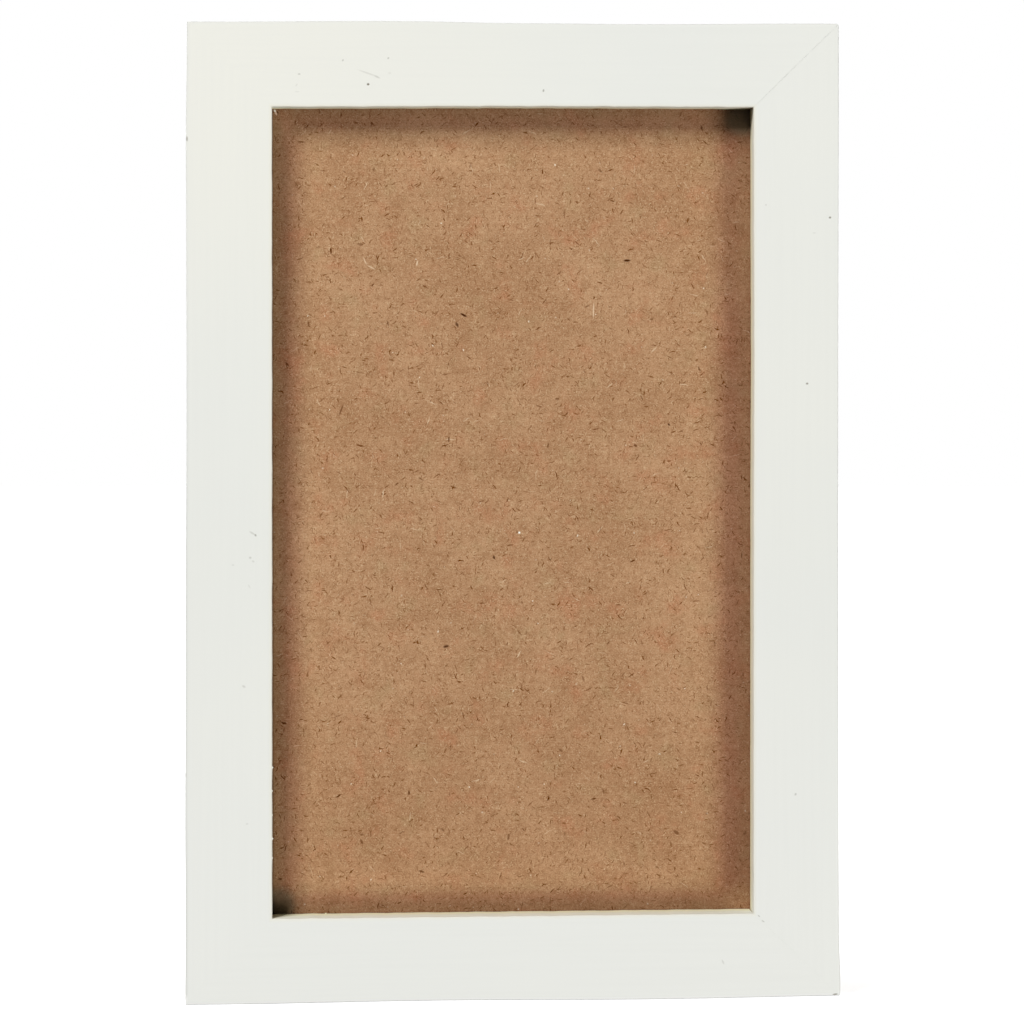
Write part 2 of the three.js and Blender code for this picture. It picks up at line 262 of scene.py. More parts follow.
class Nodes:
    """A node tree in the making. add() makes a node, sets or links its inputs and gives one output."""

    def __init__(self, tree):
        self.tree = tree
        self.tree.nodes.clear()

    def put(self, socket, value):
        if isinstance(value, bpy.types.NodeSocket):
            self.tree.links.new(value, socket)
        elif socket.type == "RGBA":
            socket.default_value = (*value, 1.0)
        else:
            socket.default_value = value

    def add(self, kind, inputs, output=0, **settings):
        node = self.tree.nodes.new("ShaderNode" + kind)
        for key, value in settings.items():
            setattr(node, key, value)
        for key, value in inputs.items():
            self.put(node.inputs[key], value)
        return node.outputs[output]

    def math(self, operation, a, b=0.0):
        return self.add("Math", {0: a, 1: b}, operation=operation)

    def times(self, a, b):
        return self.math("MULTIPLY", a, b)

    def vector(self, operation, a, b):
        return self.add("VectorMath", {0: a, 1: b}, operation=operation)

    def length(self, where):
        return self.add("VectorMath", {0: where}, output="Value", operation="LENGTH")

    def parts(self, where):
        return self.add("SeparateXYZ", {"Vector": where}).node.outputs

    def mix(self, share, a, b):
        return self.add("Mix", {0: share, 6: a, 7: b}, output=2, data_type="RGBA")

    def tint(self, share, a, b):
        return self.add("Mix", {0: share, 6: a, 7: b}, output=2, data_type="RGBA", blend_type="MULTIPLY")

    def ramp(self, value, low, high, to_low=0.0, to_high=1.0):
        inputs = {"Value": value, "From Min": low, "From Max": high, "To Min": to_low, "To Max": to_high}
        return self.add("MapRange", inputs, interpolation_type="SMOOTHSTEP")

    def noise(self, where, scale, detail=2.0, roughness=0.5, output=0):
        inputs = {"Vector": where, "Scale": scale, "Detail": detail, "Roughness": roughness}
        return self.add("TexNoise", inputs, output=output)

    def stretched(self, where, scale):
        return self.add("Mapping", {"Vector": where, "Scale": scale}, vector_type="POINT")

    def spot(self, where, x, z, half_length, half_width, slope):
        """The distance from the middle of a turned oval, where its edge is at 1."""
        return self.length(self.add("Mapping", {
            "Vector": where, "Location": (x * MM, 0, z * MM), "Rotation": (0, math.radians(-slope), 0),
            "Scale": (half_length * MM, 1.0, half_width * MM)}, vector_type="TEXTURE"))


class Finish(Nodes):
    """The nodes of a new material, about one principled shader."""

    def __init__(self, name, **constants):
        self.material = bpy.data.materials.new(name)
        self.material.use_nodes = True
        super().__init__(self.material.node_tree)
        self.shader = self.tree.nodes.new("ShaderNodeBsdfPrincipled")
        self.output = self.tree.nodes.new("ShaderNodeOutputMaterial")
        self.tree.links.new(self.shader.outputs[0], self.output.inputs["Surface"])
        self.surface(**constants)

    def surface(self, **inputs):
        for socket, value in inputs.items():
            self.put(self.shader.inputs[socket.replace("_", " ")], value)

    def bump(self, height, distance, strength):
        inputs = {"Height": height, "Distance": distance, "Strength": strength}
        self.surface(Normal=self.add("Bump", inputs))


# Specks and scratches in the paint: x and z of the middle, half length, half width, slope in degrees,
# and how dark the mark is.
paint_marks = (
    (-44.3, 278.7, 0.50, 0.42, 0, 0.95),
    (-44.3, 282.0, 3.7, 0.32, -19, 0.17),
    (-41.7, 281.0, 1.3, 0.34, -25, 0.26),
    (-51.9, 285.9, 0.46, 0.32, 60, 0.32),
    (-38.2, 286.6, 0.42, 0.32, 30, 0.36),
    (-65.1, 281.7, 0.50, 0.32, 0, 0.32),
    (-65.9, 278.4, 0.60, 0.30, 60, 0.13),
    (-65.7, 276.4, 0.90, 0.24, 0, 0.11),
    (-37.8, 282.1, 0.60, 0.45, 0, 0.09),
    (8.8, 277.0, 0.55, 0.35, 80, 0.55),
    (96.2, 238.8, 0.46, 0.38, 0, 0.80),
    (89.3, 188.3, 0.48, 0.36, 0, 0.75),
    (-79.4, 143.1, 1.30, 0.34, -33, 0.24),
    (-78.5, 142.5, 0.50, 0.36, -55, 0.55),
    (-80.1, 135.7, 0.52, 0.45, 0, 0.26),
    (-79.2, 134.6, 0.52, 0.36, -30, 0.20),
    (-85.3, 133.5, 0.50, 0.36, 0, 0.14),
    (-80.4, 127.0, 0.80, 0.30, -60, 0.12),
    (-82.1, 96.7, 0.70, 0.42, -30, 0.24),
    (91.4, 234.1, 0.65, 0.24, 0, 0.14),
    (76.6, 242.6, 0.38, 0.32, 0, 0.18),
    (63.8, 11.8, 0.95, 0.34, -65, 0.20),
    (86.0, 63.0, 0.50, 0.40, 60, 0.34),
    (-81.2, 55.0, 0.48, 0.38, 0, 0.14),
    (-98.9, 262.1, 0.9, 0.35, 90, 0.55),
    (-99.7, 70.0, 0.9, 0.25, 90, 0.25),
    (74.8, 25.8, 0.55, 0.24, -40, 0.34),
    (76.1, 24.2, 0.65, 0.24, -30, 0.34),
    (98.3, 1.6, 0.95, 0.30, 8, 0.75),
)

cool_white = (0.803, 0.813, 0.768)
even_white = (0.819, 0.825, 0.770)
painted_light_warm_white = (0.836, 0.832, 0.762)
painted_light_low_white = (0.845, 0.853, 0.812)
streak_white = (0.745, 0.752, 0.710)
painted_shade_rim_white = (0.74, 0.75, 0.715)
painted_light_under_white = (0.88, 0.885, 0.85)
cream_and_painted_light_edge = (0.80, 0.745, 0.56)
painted_light_lip_white = (0.95, 0.955, 0.83)
painted_light_lip_cream = (0.985, 0.935, 0.64)
painted_shadow_foot_brown = (0.24, 0.18, 0.11)
mark_brown = (0.16, 0.135, 0.09)


def white_paint(finish, place, wood):
    """The colour of the paint, where it is on the wall of the lip, and its marks. It is an even white,
    faintly clouded and streaked, with painted light that makes it warmer towards the top left and lighter
    low down, painted shade on the outer rim on the left, painted light under the bottom rim, creamier
    towards the lip, partly bare wood and partly painted light from the board, and on the wall a brighter
    white of painted light that turns creamier, partly thinner paint, down to a painted shadow at the foot."""
    along_x, _, height_up = finish.parts(place)
    _, across, depth = finish.parts(wood)
    cloud = finish.ramp(finish.noise(place, 14.0, 3.0), 0.3, 0.7)
    paint = finish.mix(cloud, cool_white, even_white)
    # Painted light: the paint turns warmer towards the top left, near the high lamp.
    top_left = (-80 * MM, front_plane * MM, 285 * MM)
    corner = finish.length(finish.vector("SUBTRACT", place, top_left))
    paint = finish.mix(finish.ramp(corner, 110 * MM, 15 * MM, 0.0, 0.8), paint, painted_light_warm_white)
    # Painted light: the paint is lighter low down, where less lamp light falls.
    paint = finish.mix(finish.ramp(height_up, 150 * MM, 0.0, 0.0, 0.6), paint, painted_light_low_white)
    drag = finish.noise(finish.stretched(wood, (14.0, 700.0, 700.0)), 1.0, 3.0)
    paint = finish.mix(finish.ramp(drag, 0.35, 0.75, 0.0, 0.10), paint, streak_white)

    rim = finish.times(finish.ramp(across, 1.1 * MM, 0.3 * MM), finish.ramp(depth, 1.2 * MM, 0.6 * MM))
    # Painted shade on the outer rim, strongest on the left and low down.
    to_left = finish.ramp(along_x, 60 * MM, -100 * MM)
    rim_shade = finish.times(to_left, finish.ramp(height_up, 300 * MM, 0.0, 0.4, 1.0))
    paint = finish.mix(finish.times(rim, rim_shade), paint, painted_shade_rim_white)
    # Painted light on the rim under the bottom edge.
    under = finish.times(rim, finish.ramp(height_up, 3.5 * MM, 2.0 * MM))
    paint = finish.mix(under, paint, painted_light_under_white)

    # Creamier towards the lip: partly bare wood at the arris, partly painted light thrown back by the
    # board.
    near_lip = finish.ramp(across, 24.6 * MM, 25.9 * MM, 0.0, 0.30)
    paint = finish.mix(near_lip, paint, cream_and_painted_light_edge)
    # On the wall the white is brighter, painted light standing for the light the board throws on it; it
    # turns creamier towards the foot, partly painted warm light from the board and partly thinner paint.
    past_arris = finish.ramp(depth, 0.2 * MM, 0.8 * MM)
    on_wall = finish.times(finish.ramp(across, 25.5 * MM, 25.9 * MM), past_arris)
    wall = finish.mix(finish.ramp(depth, 3.0 * MM, 11.0 * MM), painted_light_lip_white, painted_light_lip_cream)
    paint = finish.mix(on_wall, paint, wall)
    # Painted shadow at the foot of the wall, where it meets the board.
    foot = finish.times(finish.ramp(depth, 11.1 * MM, 11.4 * MM, 0.0, 0.6), on_wall)
    paint = finish.mix(foot, paint, painted_shadow_foot_brown)

    mark = 0.0
    for x, z, half_length, half_width, slope, dark in paint_marks:
        spot = finish.spot(place, x, z, half_length, half_width, slope)
        mark = finish.math("MAXIMUM", mark, finish.ramp(spot, 1.15, 0.35, 0.0, dark))
    mark = finish.times(mark, finish.ramp(depth, 1.3 * MM, 0.6 * MM))
    return finish.mix(mark, paint, mark_brown), on_wall, mark


early_wood = (0.66, 0.485, 0.295)
dull_early_wood = (0.60, 0.425, 0.245)
late_wood = (0.44, 0.265, 0.125)
pore_brown = (0.34, 0.20, 0.10)
mitre_brown = (0.13, 0.075, 0.035)
dust_white = (0.78, 0.77, 0.70)
pith_offset = (0, 6 * MM, 26 * MM)
ring_pitch = 1.15


def bare_softwood(finish, place, wood, coat):
    """Growth rings about a far pith, each one darkening slowly to a thin late line, with fine pores, a
    dark line at the mitre, and specks of paint where the coat is thin."""
    radius = finish.length(finish.vector("ADD", finish.vector("MULTIPLY", wood, (0, 1, 1)), pith_offset))
    drift = finish.noise(finish.stretched(wood, (4.0, 16.0, 16.0)), 1.0, 2.0)
    wander = finish.noise(finish.stretched(wood, (12.0, 110.0, 110.0)), 1.0, 3.0)
    rings = finish.math("ADD", finish.times(radius, 1 / (ring_pitch * MM)), finish.times(drift, 9.0))
    rings = finish.math("FRACT", finish.math("ADD", rings, finish.times(wander, 1.1)))
    late = finish.times(finish.ramp(rings, 0.25, 0.92), finish.ramp(rings, 1.0, 0.93))
    uneven = finish.noise(finish.stretched(wood, (7.0, 60.0, 60.0)), 1.0)
    late = finish.times(late, finish.ramp(uneven, 0.3, 0.7, 0.45, 1.0))
    early = finish.mix(finish.ramp(drift, 0.3, 0.7), early_wood, dull_early_wood)
    bare = finish.mix(late, early, late_wood)
    pores = finish.noise(finish.stretched(wood, (60.0, 2600.0, 2600.0)), 1.0, 2.0)
    bare = finish.mix(finish.ramp(pores, 0.54, 0.72, 0.0, 0.40), bare, pore_brown)
    joint = finish.add("Attribute", {}, output="Fac", attribute_name="from_mitre")
    bare = finish.mix(finish.ramp(joint, 0.35 * MM, 0.12 * MM, 0.0, 0.8), bare, mitre_brown)
    specks = finish.ramp(finish.noise(place, 3000.0, 2.0), 0.47, 0.66)
    specks = finish.times(specks, finish.ramp(coat, 0.02, 0.5, 0.0, 0.9))
    return finish.mix(specks, bare, dust_white)


def paint_and_bare_wood():
    """White spray paint over softwood: the coat's own number, frayed by noise, decides which one shows.
    The paint lies a little proud and is smoother than the wood."""
    finish = Finish("white_spray_paint_on_softwood")
    place = finish.add("TexCoord", {}, output="Object")
    wood = finish.add("Attribute", {}, output="Vector", attribute_name="wood")
    coat = finish.add("Attribute", {}, output="Fac", attribute_name="coat")
    paint, on_wall, mark = white_paint(finish, place, wood)
    bare = bare_softwood(finish, place, wood, coat)
    frayed = finish.times(finish.math("SUBTRACT", finish.noise(wood, 1600.0, 3.0, 0.6), 0.5), 0.5)
    covered = finish.ramp(finish.math("ADD", coat, frayed), 0.34, 0.46)

    gloss = finish.ramp(finish.noise(place, 260.0, 3.0), 0.3, 0.7, -0.05, 0.05)
    rough = finish.math("SUBTRACT", 0.78, finish.times(covered, 0.36))
    finish.surface(
        Base_Color=finish.mix(covered, bare, paint),
        Specular_IOR_Level=finish.ramp(on_wall, 0.0, 1.0, 0.3, 0.0),
        Roughness=finish.math("ADD", rough, gloss))
    grain = finish.noise(finish.stretched(wood, (40.0, 1500.0, 1500.0)), 1.0, 3.0)
    height = finish.math("ADD", finish.noise(place, 900.0, 2.0), finish.times(grain, 0.8))
    height = finish.math("SUBTRACT", height, finish.times(mark, 2.0))
    height = finish.math("ADD", height, finish.times(covered, 1.5))
    finish.bump(height, 0.02 * MM, 0.6)
    return finish.material


# Each side runs clockwise seen from the front: its ends, the waves of its outer edge and of its lip, the
# lean of its wall in mm, and the flecks of paint on its lip as share of the way, depth, height and width.
sides = {
    "top_rail": ("top_left", "top_right", lambda t: bow(t, -0.25, 3) - swell(t, 0.47, 0.08, 0.2),
                 lambda t: bow(t, 0.1, 2) + 0.6 * ripple(t, 0.4), -0.08,
                 ((0.43, 0.3, 0.10, 0.3), (0.71, 0.4, 0.12, 0.25), (0.235, 0.5, 0.12, 0.3))),
    "right_stile": ("top_right", "bottom_right",
                    lambda t: bow(t, 0.12, 2) + 0.4 * (step_up(t, 0.93, 0.985) - t),
                    lambda t: 0.25 * ripple(t, 1.3) - swell(t, 0.31, 0.12, 0.15), -0.39, ()),
    "bottom_rail": ("bottom_right", "bottom_left", lambda t: bow(t, 0.22, 3, 0.95),
                    lambda t: 0.6 * ripple(t, 2.1), 0.09,
                    ((0.887, 11.0, 0.35, 0.3), (0.45, 0.4, 0.1, 0.3))),
    "left_stile": ("bottom_left", "top_left",
                   lambda t: bow(t, 0.08, 5) + swell(t, 0.205, 0.1, 0.30) + swell(t, 0.89, 0.06, 0.2),
                   lambda t: 0.45 * ripple(t, 3.7), 0.10,
                   ((0.187, 0.5, 0.34, 0.30), (0.158, 0.5, 0.30, 0.26), (0.099, 0.5, 0.36, 0.34),
                    (0.128, 0.5, 0.16, 0.3), (0.075, 0.6, 0.18, 0.3))),
}
side_finish = paint_and_bare_wood()
for number, (name, form) in enumerate(sides.items()):
    grid, wood, coat, from_mitre = side_surface(*form)
    side = swept(name + "_wood", grid)
    carry_numbers(side, "wood", (wood + (400.0 * number, 0, 0)) * MM, "FLOAT_VECTOR")
    carry_numbers(side, "coat", coat)
    carry_numbers(side, "from_mitre", from_mitre * MM)
    side.data.materials.append(side_finish)
    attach(side, "frame")
    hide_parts(name)

# The backing board is a sheet of thin fibreboard, sawn to size and laid bare in the rebate. Its front is
# pressed smooth and shows the felted fibres; its back carries the print of the wire screen.
board_low, board_high = room_of("backing_board")
board_trim = np.array([(0.30, 0, 0.10), (0.55, 0, 1.70)])
board_low, board_high = board_low + board_trim[0], board_high - board_trim[1]
board_corner = 1.0
board_arris = 0.12


def rounded_rectangle(half_x, half_z, radius, steps=10):
    """The outline of a rectangle with quarter circles of the given radius at its corners."""
    turn = np.linspace(0, np.pi / 2, steps)
    arcs = []
    for quarter, (sx, sz) in enumerate(((1, 1), (-1, 1), (-1, -1), (1, -1))):
        angle = turn + quarter * np.pi / 2
        x = sx * (half_x - radius) + radius * np.cos(angle)
        z = sz * (half_z - radius) + radius * np.sin(angle)
        arcs.append(np.stack([x, z], -1))
    return np.concatenate(arcs)


def board_surface():
    """Outlines of one rounded rectangle, drawn in by a few tenths at the sawn edges and shrunk to the
    middle on both faces, at the depths of the front and the back."""
    half = (board_high - board_low)[[0, 2]] / 2
    middle = (board_high + board_low)[[0, 2]] / 2
    front, back = board_low[1], board_high[1]
    turn = np.linspace(0, np.pi / 2, 5)
    inset = np.concatenate([board_arris * (1 - np.sin(turn)), board_arris * (1 - np.cos(turn))])
    depth = np.concatenate([
        front + board_arris * (1 - np.cos(turn)), back - board_arris * (1 - np.sin(turn))])
    edge = np.stack([rounded_rectangle(*(half - i), board_corner) for i in inset])
    faces = (0.02, 0.25, 0.5, 0.75, 0.95)
    front_rings = np.stack([edge[0] * s for s in faces])
    plan = np.concatenate([front_rings, edge, front_rings[::-1]]) + middle
    y = np.concatenate([np.full(len(faces), front), depth, np.full(len(faces), back)])
    return np.stack([plan[..., 0], np.broadcast_to(y[:, None], plan.shape[:2]), plan[..., 1]], -1)[:, ::-1]


def fibres(finish, where, shift, cell, half_length, half_width, share):
    """A mask of short fibres, one to a Voronoi cell: the place in the cell is turned by the cell's own
    angle and divided by the half length and half width, and the fibre is where its length is under one.
    Only the given share of the cells holds a fibre, each of its own length and strength."""
    where = finish.vector("ADD", where, (shift, 1.7 * shift, 0))
    cells = finish.add("TexVoronoi", {"Vector": where, "Scale": 1 / (cell * MM)}, output="Position",
                       voronoi_dimensions="2D")
    turn, chance, size = finish.add("SeparateColor", {"Color": cells.node.outputs["Color"]}).node.outputs
    away = finish.vector("SUBTRACT", where, cells)
    away = finish.add("VectorRotate", {"Vector": away, "Angle": finish.times(turn, 2 * math.pi)},
                      rotation_type="Z_AXIS")
    away = finish.vector("MULTIPLY", away, (1 / (half_length * MM), 1 / (half_width * MM), 0))
    size = finish.ramp(size, 0, 1, 0.45, 1.0)
    mask = finish.ramp(finish.math("DIVIDE", finish.length(away), size), 1.0, 0.5)
    return finish.times(mask, finish.ramp(chance, share, share * 0.2))


# The layers of fibre, from the finest up: shift of the cells, cell, half length, half width in mm, share
# of cells, strength and colour.
board_fibres = (
    (0.31, 0.80, 0.48, 0.16, 0.80, 0.70, (0.65, 0.465, 0.285)),
    (0.05, 0.85, 0.50, 0.16, 0.80, 0.75, (0.205, 0.086, 0.026)),
    (0.77, 1.40, 0.75, 0.19, 0.75, 0.88, (0.185, 0.067, 0.014)),
    (0.43, 2.40, 1.10, 0.23, 0.78, 1.00, (0.150, 0.046, 0.004)),
    (0.53, 5.50, 1.90, 0.19, 0.26, 0.85, (0.70, 0.52, 0.34)),
    (0.11, 4.40, 1.50, 0.24, 0.55, 1.00, (0.130, 0.035, 0.002)),
    (0.67, 12.0, 1.20, 0.38, 0.50, 1.00, (0.100, 0.026, 0.001)),
    (0.23, 9.5, 0.38, 0.27, 0.50, 0.90, (0.88, 0.80, 0.63)),
)

# Soft changes of tone, from broad to fine: which noise makes it, the values between which it sets in, its
# greatest share and its colour.
board_tones = (
    ("hue", 0.52, 0.74, 0.80, (0.455, 0.212, 0.108)),
    ("hue", 0.46, 0.26, 0.75, (0.420, 0.263, 0.135)),
    ("patch", 0.48, 0.74, 0.62, (0.345, 0.175, 0.083)),
    ("patch", 0.48, 0.25, 0.45, (0.535, 0.316, 0.170)),
    ("fuzz", 0.50, 0.32, 0.42, (0.265, 0.130, 0.056)),
    ("fuzz", 0.52, 0.72, 0.45, (0.635, 0.425, 0.248)),
    ("grit", 0.50, 0.25, 0.33, (0.200, 0.093, 0.034)),
    ("grit", 0.50, 0.75, 0.34, (0.690, 0.472, 0.283)),
)
board_dark = (0.394, 0.214, 0.108)
board_light = (0.489, 0.283, 0.152)


def felt(finish, flat):
    """The colour of the felted fibres and the fuzz of the surface: broad clouds, the soft changes of tone,
    then every layer of fibre, thicker in some places than in others. A noise sways the fibres."""
    sway = finish.noise(flat, 900.0, 1.0, output="Color")
    swayed = finish.vector("ADD", flat, finish.vector("MULTIPLY", sway, (0.8 * MM, 0.8 * MM, 0)))
    noises = {
        "hue": finish.noise(finish.vector("ADD", flat, (0.31, 0.17, 0)), 105.0, 2.0, 0.55),
        "patch": finish.noise(flat, 150.0, 3.0, 0.6),
        "fuzz": finish.noise(swayed, 640.0, 3.0, 0.7),
        "grit": finish.noise(flat, 2500.0, 1.0),
    }
    cloud = finish.noise(flat, 26.0, 3.0, 0.6)
    colour = finish.mix(finish.ramp(cloud, 0.28, 0.72), board_dark, board_light)
    for name, low, high, share, shade in board_tones:
        colour = finish.mix(finish.ramp(noises[name], low, high, 0.0, share), colour, shade)
    thick = finish.ramp(finish.noise(flat, 230.0, 2.0), 0.32, 0.66, 0.35, 1.0)
    for shift, cell, half_length, half_width, share, strength, shade in board_fibres:
        layer = fibres(finish, swayed, shift, cell, half_length, half_width, share)
        colour = finish.mix(finish.times(finish.times(layer, strength), thick), colour, shade)
    return colour, noises["fuzz"]


# Grey painted shade in the two corners that both lamps leave in shadow, a run of paint at the top left
# corner with a dark spot beside it, and the largest single fibres and specks: x and z of the middle, half
# length, half width, slope in degrees, strength and colour.
bark = (0.070, 0.022, 0.007)
red_fibre = (0.150, 0.055, 0.018)
pale_fibre = (0.76, 0.57, 0.38)
board_spots = (
    # Painted shade in the top right and bottom left corners, which both lamps leave in shadow.
    (70.5, 268.8, 6.0, 5.2, 0, 0.50, (0.34, 0.28, 0.19)),
    (-71.3, 29.0, 6.5, 5.5, 90, 0.50, (0.16, 0.15, 0.10)),
    (-71.42, 270.75, 0.50, 0.34, -60, 0.8, (0.080, 0.028, 0.008)),
    (-72.00, 270.60, 0.95, 0.34, -64, 0.9, (0.74, 0.52, 0.38)),
    (-72.26, 271.25, 0.50, 0.36, -64, 1.0, (0.97, 0.90, 0.78)),
    (-14.8, 209.2, 1.25, 0.40, -27, 1.0, bark),
    (-16.8, 206.3, 0.90, 0.50, -65, 0.8, bark),
    (35.3, 225.9, 1.20, 0.42, 2, 1.0, bark),
    (-5.5, 135.1, 0.65, 0.40, -70, 0.9, bark),
    (-20.2, 107.9, 1.00, 0.42, 14, 0.9, bark),
    (48.2, 175.7, 0.50, 0.36, -60, 0.9, bark),
    (37.9, 169.3, 0.70, 0.46, -30, 0.9, red_fibre),
    (23.0, 211.9, 1.00, 0.30, 20, 0.6, red_fibre),
    (-52.2, 180.2, 2.30, 0.27, 69, 0.8, red_fibre),
    (50.6, 50.4, 1.20, 0.62, -35, 0.8, red_fibre),
    (-46.1, 48.2, 1.00, 0.42, -65, 0.8, red_fibre),
    (-46.0, 50.4, 0.60, 0.34, 10, 0.7, red_fibre),
    (25.0, 210.6, 2.70, 0.24, 88, 0.75, pale_fibre),
    (-29.0, 225.0, 0.90, 0.26, 80, 0.9, pale_fibre),
    (-44.9, 225.6, 1.45, 0.22, -64, 0.6, pale_fibre),
    (-43.0, 223.7, 1.50, 0.22, -28, 0.6, pale_fibre),
    (2.25, 142.7, 0.38, 0.36, 0, 1.0, (0.97, 0.93, 0.82)),
)

# Painted shade along each wall, a reddish band where the lamps' shadow lies and a deeper grey close to the
# wall: axis across the wall, way into the opening and foot of the wall, reach and share of the reddish
# shade, reach and share of the deeper grey shade.
wall_shade_bands = (
    (0, 1, -73.3, 11.8, 0.48, 5.4, 0.95),
    (0, -1, 73.1, 13.5, 0.77, 9.0, 1.00),
    (2, -1, 271.9, 8.8, 0.42, 4.5, 0.50),
    (2, 1, 26.4, 7.9, 0.56, 9.0, 0.80),
)

# Two places at the right get less of the painted shade: x and z of the middle, half width, half height and
# share.
less_shade_places = (
    (70.0, 234.0, 9.0, 24.0, 0.38),
    (70.5, 29.5, 6.5, 6.0, 0.60),
)

painted_shade_red = (0.93, 0.665, 0.735)
painted_deep_shade_grey = (0.78, 0.88, 0.84)
low_tan = (0.955, 0.93, 0.905)
painted_gap_shadow_brown = (0.085, 0.045, 0.022)
gap_shadow_share = 0.45


def front_with_painted_shade(finish, place, in_front, colour):
    """The front: darker low down, painted shade along the walls, a reddish band and a deeper grey next to
    each wall, less of it at two places on the right, a painted gap shadow at the foot of the left wall, and
    the single spots on top."""
    parts = finish.parts(place)
    wall_shade = dust = 0.0
    # Painted shade along each wall: a reddish band and a deeper grey next to the wall; the mask named dust
    # holds the deeper painted shade.
    for axis, way, foot, shade_reach, shade_share, deep_shade_reach, deep_shade_share in wall_shade_bands:
        off = finish.times(finish.math("SUBTRACT", parts[axis], foot * MM), way)
        shade_band = finish.ramp(off, shade_reach * MM, 4.0 * MM, 0.0, shade_share)
        deep_shade_band = finish.ramp(off, deep_shade_reach * MM, 0.5 * MM, 0.0, deep_shade_share)
        wall_shade = finish.math("MAXIMUM", wall_shade, shade_band)
        dust = finish.math("MAXIMUM", dust, deep_shade_band)
    shade_relief = 0.0
    # Less painted shade at two places on the right.
    for x, z, half_width, half_height, share in less_shade_places:
        spot = finish.ramp(finish.spot(place, x, z, half_width, half_height, 0), 1.15, 0.3, 0.0, share)
        shade_relief = finish.math("MAXIMUM", shade_relief, spot)
    shade_room = finish.times(in_front, finish.math("SUBTRACT", 1.0, shade_relief))
    low_down = finish.times(in_front, finish.ramp(parts[2], 130 * MM, 30 * MM))
    colour = finish.tint(low_down, colour, low_tan)
    # Painted shade: the reddish band, then the deeper grey one.
    colour = finish.tint(finish.times(wall_shade, shade_room), colour, painted_shade_red)
    colour = finish.tint(finish.times(dust, shade_room), colour, painted_deep_shade_grey)
    # A painted shadow of the gap at the foot of the left wall.
    gap_shadow = finish.ramp(parts[0], -72.5 * MM, -73.1 * MM, 0.0, gap_shadow_share)
    colour = finish.mix(finish.times(gap_shadow, in_front), colour, painted_gap_shadow_brown)
    for x, z, half_length, half_width, slope, strength, shade in board_spots:
        spot = finish.spot(place, x, z, half_length, half_width, slope)
        spot = finish.ramp(spot, 1.15, 0.5, 0.0, strength)
        colour = finish.mix(finish.times(spot, in_front), colour, shade)
    return colour


rough_brown = (0.26, 0.135, 0.066)
pit_brown = (0.15, 0.075, 0.038)
wire_turns = 4200.0


def felted_board():
    """Tan fibreboard: felted on the front, with painted shade along the walls; darker and rough behind,
    with the even print of the screen's wires, which is a sine along x plus a sine along z."""
    finish = Finish("bare_fibreboard", Specular_IOR_Level=0.05)
    place = finish.add("TexCoord", {}, output="Object")
    x, y, z = finish.parts(place)
    behind = finish.ramp(y, 4.6 * MM, 5.2 * MM)
    colour, fuzz = felt(finish, finish.add("CombineXYZ", {"X": x, "Y": z}))
    colour = front_with_painted_shade(finish, place, finish.math("SUBTRACT", 1.0, behind), colour)
    upright = finish.math("SINE", finish.times(x, wire_turns))
    level = finish.math("SINE", finish.times(z, wire_turns))
    pits = finish.times(behind, finish.ramp(finish.math("ADD", upright, level), 1.2, -1.2))
    colour = finish.mix(finish.times(behind, 0.45), colour, rough_brown)
    colour = finish.mix(finish.times(pits, 0.22), colour, pit_brown)
    finish.surface(Base_Color=colour, Roughness=finish.ramp(fuzz, 0.3, 0.7, 0.72, 0.9))
    finish.bump(finish.math("SUBTRACT", fuzz, finish.times(pits, 3.0)), 0.06 * MM, 0.6)
    return finish.material


board = swept("backing_board_sheet", board_surface())
board.data.materials.append(felted_board())
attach(board, "frame")
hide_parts("backing_board")

# The corner fasteners are strips of spring steel folded to a V, with curled ends that pull the mitre
# shut. Two are driven into the back of each corner until their edges lie level with the wood.
v_nail_stations = {"outer": 6.5, "inner": 13.5}
v_nail_half = 0.35
v_nail_leg = 4.6
v_nail_lip = 1.1
v_nail_bend = 0.6
v_nail_spread = math.radians(52)
v_nail_curl = math.radians(102)
v_nail_foot = 0.5
v_nail_head = 7.53
v_nail_arris = 0.08


def rounded_path(corners, bend, steps=7):
    """A line through the corners. Each inner corner becomes a quadratic curve that leaves the line and
    joins it again one bend's length from the corner."""
    corners = np.asarray(corners, float)
    knee = corners[1:-1]
    back, ahead = corners[:-2] - knee, corners[2:] - knee
    back = knee + bend * back / np.linalg.norm(back, axis=1, keepdims=True)
    ahead = knee + bend * ahead / np.linalg.norm(ahead, axis=1, keepdims=True)
    u = np.linspace(0, 1, steps)[:, None]
    curves = ((1 - u) ** 2 * back[:, None] + 2 * u * (1 - u) * knee[:, None] + u * u * ahead[:, None])
    return np.concatenate([corners[:1], curves.reshape(-1, 2), corners[-1:]])


def sideways(path):
    """The unit normal to the left of a path at each of its points, from the mean of the steps beside it."""
    step = np.diff(path, axis=0)
    step = step / np.linalg.norm(step, axis=1, keepdims=True)
    tangent = np.concatenate([step[:1], step[:-1] + step[1:], step[-1:]])
    tangent = tangent / np.linalg.norm(tangent, axis=1, keepdims=True)
    return np.stack([-tangent[:, 1], tangent[:, 0]], -1)


